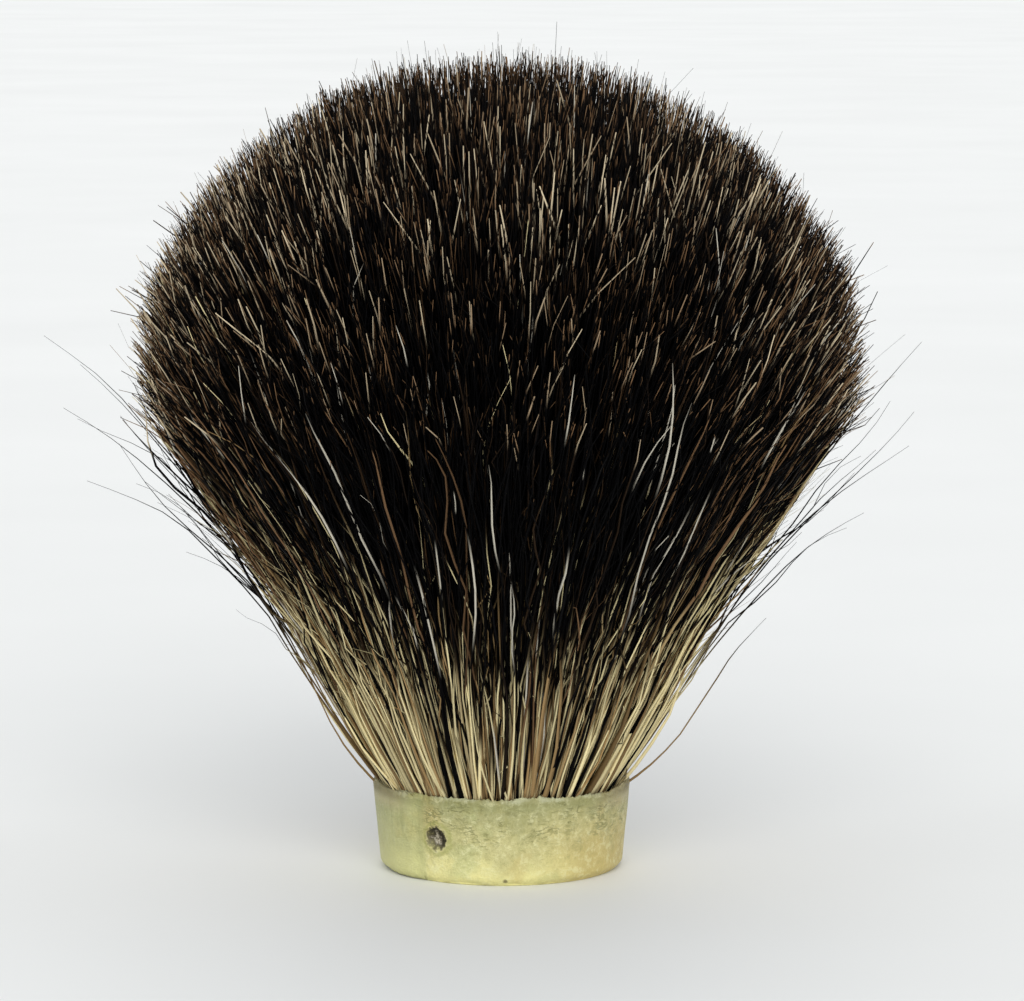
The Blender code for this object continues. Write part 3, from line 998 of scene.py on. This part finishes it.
class KNOT_OT_add_plug(bpy.types.Operator):
    """Add the cast glue plug"""

    bl_idname = "knot.add_plug"
    bl_label = "Add glue plug"

    def execute(self, context):
        settings = context.scene.knot_plug
        around = turn_angles(360)
        wall = PLUG_HIGH.x + 0.00012  # just into the film
        lip = COLLAR_HIGH.y - LIP_INSET
        edge, middle, top = 0.0003, 0.0004, PLUG_HIGH.z
        turn = np.linspace(0, np.pi / 2, 10)
        foot_edge = np.stack([lip - edge + edge * np.sin(turn), edge * (1 - np.cos(turn))], axis=1)
        # The profile: flat foot, round edge, a lip under the film, the wall, and the glue's surface
        outline = np.concatenate(
            [
                np.linspace((middle, 0), (lip - edge, 0), 14)[:-1],
                foot_edge,
                [(wall - 0.0006, edge + 0.00002)],
                np.linspace((wall - 0.00058, edge + 0.0001), (wall, top), 18),
                np.linspace((wall - 0.0001, top + 0.0001), (middle, top + 0.0001), 22),
            ]
        )
        radius = outline[:, :1] + 0 * around
        height = outline[:, 1:] + 0 * around
        lump = ripple(
            900 * radius * np.cos(around), 900 * radius * np.sin(around), 900 * height, seed=5
        )
        on_top = height > top - 0.0001
        height = height + np.where(on_top, 0.00018 * lump, 0)
        radius = radius - np.where(on_top, 0, pit_depth(settings, around, height))
        rings = round_axis(radius, around, height)
        mesh = turned_mesh("glue_plug", rings, (0, 0, 0), (0, 0, top))
        piece = add_piece("glue_plug", mesh, resin_material(settings), "plug_resin", "resin_plug")
        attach(piece, PLUG_BODY)
        return {"FINISHED"}


def pit_depth(settings, around, height):
    """Depth of the pit at places on the wall: flat in the middle, and a lip past its radius."""
    across = (around - FRONT + np.pi) % (2 * np.pi) - np.pi
    away = np.hypot((across - settings.pit_angle) * COLLAR_HIGH.y, height - settings.pit_height)
    size = settings.pit_radius
    bowl = 1 - smooth_step(away, 0.55 * size, size)
    lip = np.exp(-(((away - 1.12 * size) / (0.16 * size)) ** 2))
    return PIT_DEPTH * bowl - PIT_LIP * lip


class KNOT_OT_add_collar(bpy.types.Operator):
    """Add the collar: a strip of film rolled round the plug, with its outer end lapped over"""

    bl_idname = "knot.add_collar"
    bl_label = "Add collar"

    def execute(self, context):
        settings = context.scene.knot_plug
        lap_start, lap_length, settle = np.radians([-41, 50, 35])
        film, lap_step = 0.00028, 0.00034
        columns, rows = 560, 40
        run = np.linspace(0, 2 * np.pi + lap_length, columns)[:, None]
        around = FRONT + lap_start - run
        lumps = np.abs(ripple(55 * around, seed=13, finest=2.5))
        foot = 0.0001 + 0.00005 * ripple(12 * around, seed=14)
        rim = RIM + 0.00014 * ripple(9 * around, seed=11, finest=9.0) + 0.00026 * lumps - 0.00014
        up = np.linspace(0, 1, rows)[None, :]
        height = foot + up * (rim - foot)
        # The outer face: tapered, drawn in at the foot, and lumpy at the rim
        taper = 0.00065 * (RIM - height) / (RIM - COLLAR_LOW.z)
        turned_in = 0.0002 * (1 - smooth_step(height, foot, foot + 0.0004)) ** 2
        outside = COLLAR_HIGH.y - taper - turned_in
        outside = outside + 0.0001 * (lumps - 0.4) * smooth_step(height, RIM - 0.0008, RIM)
        lapped = 1 - smooth_step(run, lap_length, lap_length + settle)
        lapped = lapped * lap_step * (0.55 + 0.45 * smooth_step(run, 0, 0.3))
        wobble = 0.00003 * ripple(
            700 * outside * np.cos(around), 700 * outside * np.sin(around), 500 * height, seed=12
        )
        inner = outside - film + lapped + wobble - pit_depth(settings, around, height)
        # The film thins to a feather at its outer end, its foot and its rim
        feather = 0.2 + 0.8 * smooth_step(run, 0, 0.14)
        feather = feather * (0.25 + 0.75 * smooth_step(up, 0, 0.08))
        feather = feather * (0.45 + 0.55 * smooth_step(1 - up, 0, 0.05))
        # The strip's section runs up its outer face and down its inner one
        section = np.concatenate([inner + film * feather, inner[:, ::-1]], axis=1)
        levels = np.concatenate([height, height[:, ::-1]], axis=1)
        points = round_axis(section, around, levels).reshape(-1, 3)
        faces = wrapped_faces(columns, 2 * rows)
        here = np.arange(rows - 1)
        start = np.stack([here, here + 1, 2 * rows - 2 - here, 2 * rows - 1 - here], axis=1)
        end = start[:, ::-1] + (columns - 1) * 2 * rows
        mesh = fill_mesh("rolled_collar", points, np.concatenate([faces, start, end]))
        finish = film_material(settings)
        piece = add_piece("rolled_collar", mesh, finish, "collar_film", "collar_film")
        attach(piece, PLUG_BODY)
        return {"FINISHED"}


class KNOT_OT_add_roots(bpy.types.Operator):
    """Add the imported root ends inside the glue, fluted by their outer hairs"""

    bl_idname = "knot.add_roots"
    bl_label = "Add root ends"

    def execute(self, context):
        flutes, flute_depth = 150, 0.00009
        around = turn_angles(600)
        bundle, waist_depth = THREAD_HIGH.x, 0.0008
        low, high = BUNDLE_LOW.z + 0.00005, PLUG_HIGH.z - 0.0004
        height = np.linspace(low, high, 30)[:, None] + 0 * around
        drawn_in = smooth_step(height, THREAD_LOW.z - 0.0004, THREAD_LOW.z)
        drawn_in = drawn_in * (1 - smooth_step(height, THREAD_HIGH.z, THREAD_HIGH.z + 0.0004))
        wander = 0.25 * ripple(3 * around, 400 * height, seed=21)
        flute = np.abs(np.sin(flutes / 2 * around + wander))
        radius = bundle - 0.0001 - waist_depth * drawn_in - flute_depth * (1 - flute)
        rings = round_axis(radius, around, height)
        mesh = turned_mesh("root_ends", rings, (0, 0, low), (0, 0, high))
        piece = add_piece("root_ends", mesh, root_material(), "root_hair", "root_bundle")
        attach(piece, PLUG_BODY)
        return {"FINISHED"}


class KNOT_OT_add_thread(bpy.types.Operator):
    """Add the two-ply thread that ties the root ends"""

    bl_idname = "knot.add_thread"
    bl_label = "Add thread"

    def execute(self, context):
        turns, pitch, points, sides = 3, 0.00065, 540, 14
        radius = (THREAD_HIGH.z - THREAD_LOW.z - turns * pitch) / 2
        turned = np.linspace(0, turns, points)
        height = THREAD_LOW.z + radius + turned * pitch
        path = round_axis(THREAD_HIGH.x - radius, 2 * np.pi * turned, height)
        upward = np.array([[0.0, 0.0, 1.0]])
        rings = tube_rings(path, np.full(points, radius), upward, sides)
        # Two plies: the section is pinched at two opposite places, which turn along the thread
        pinch = 0.78 + 0.22 * np.abs(np.cos(turn_angles(sides) - 60 * turned[:, None]))
        rings = path[:, None, :] + (rings - path[:, None, :]) * pinch[..., None] * 0.97
        mesh = turned_mesh("tied_thread", rings, path[0], path[-1])
        piece = add_piece("tied_thread", mesh, thread_material(), "tying_thread", "binding_thread")
        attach(piece, PLUG_BODY)
        return {"FINISHED"}


def add_sun(name, around, rise, strength, colour):
    """A wide soft sun at some direction, from the front towards +X, and height over the floor."""
    light = bpy.data.lights.new(name, "SUN")
    light.energy = strength
    light.angle = math.radians(50)
    light.color = colour
    lamp = bpy.data.objects.new(name, light)
    level = math.cos(rise)
    toward = Vector((level * math.sin(around), -level * math.cos(around), math.sin(rise)))
    lamp.rotation_euler = toward.to_track_quat("Z", "Y").to_euler()
    bpy.context.scene.collection.objects.link(lamp)


class KNOT_OT_add_stage(bpy.types.Operator):
    """Add the pale floor, the soft light and the camera"""

    bl_idname = "knot.add_stage"
    bl_label = "Add stage"

    def execute(self, context):
        settings = context.scene.knot_stage
        bpy.ops.mesh.primitive_circle_add(vertices=96, radius=8.0, fill_type="NGON")
        floor = context.object
        floor.name = "stage_floor"
        floor.data.materials.append(floor_material())
        world = bpy.data.worlds.new("stage_world")
        world.use_nodes = True
        background = world.node_tree.nodes["Background"]
        background.inputs["Color"].default_value = (0.93, 0.95, 0.96, 1)
        background.inputs["Strength"].default_value = settings.surround
        context.scene.world = world
        strength = settings.key_strength
        warm_white, paper_white = (1.0, 0.98, 0.95), (1.0, 0.99, 0.975)
        add_sun("key", settings.key_around, settings.key_rise, strength, paper_white)
        add_sun("back", math.radians(180), math.radians(40), strength * 0.28, warm_white)
        camera = bpy.data.cameras.new("camera")
        camera.lens = settings.lens
        camera.clip_start = 0.01
        camera.clip_end = 50.0
        seen = bpy.data.objects.new("camera", camera)
        rise = settings.elevation
        aside = 0.0007  # towards +X
        back, up = settings.distance * math.cos(rise), settings.distance * math.sin(rise)
        seen.location = (aside, -back, settings.aim_height + up)
        seen.rotation_euler = (math.pi / 2 - rise, 0, 0)
        context.scene.collection.objects.link(seen)
        context.scene.camera = seen
        context.scene.view_settings.view_transform = "Standard"
        return {"FINISHED"}


class KNOT_PT_panel(bpy.types.Panel):
    """The knot's pieces and settings"""

    bl_label = "Shaving Brush Knot"
    bl_idname = "KNOT_PT_panel"
    bl_space_type = "VIEW_3D"
    bl_region_type = "UI"
    bl_category = "Knot"

    def draw(self, context):
        for operator in OPERATORS:
            self.layout.operator(operator.bl_idname)
        scene = context.scene
        for settings in (scene.knot_hair, scene.knot_plug, scene.knot_stage):
            box = self.layout.box()
            for name in settings.bl_rna.properties.keys():
                if name not in ("rna_type", "name"):
                    box.prop(settings, name)


OPERATORS = (
    KNOT_OT_add_stage,
    KNOT_OT_add_plug,
    KNOT_OT_add_collar,
    KNOT_OT_add_roots,
    KNOT_OT_add_thread,
    KNOT_OT_add_core,
    KNOT_OT_add_locks,
)
CLASSES = (KnotHairSettings, KnotPlugSettings, KnotStageSettings, *OPERATORS, KNOT_PT_panel)


def register():
    for item in CLASSES:
        bpy.utils.register_class(item)
    bpy.types.Scene.knot_hair = PointerProperty(type=KnotHairSettings)
    bpy.types.Scene.knot_plug = PointerProperty(type=KnotPlugSettings)
    bpy.types.Scene.knot_stage = PointerProperty(type=KnotStageSettings)


def unregister():
    del bpy.types.Scene.knot_stage
    del bpy.types.Scene.knot_plug
    del bpy.types.Scene.knot_hair
    for item in reversed(CLASSES):
        bpy.utils.unregister_class(item)


def main():
    """Makes every piece."""
    register()
    bpy.ops.knot.add_stage()
    bpy.ops.knot.add_plug()
    bpy.ops.knot.add_collar()
    bpy.ops.knot.add_roots()
    bpy.ops.knot.add_thread()
    bpy.ops.knot.add_core()
    bpy.ops.knot.add_locks()


if __name__ == "__main__":
    main()
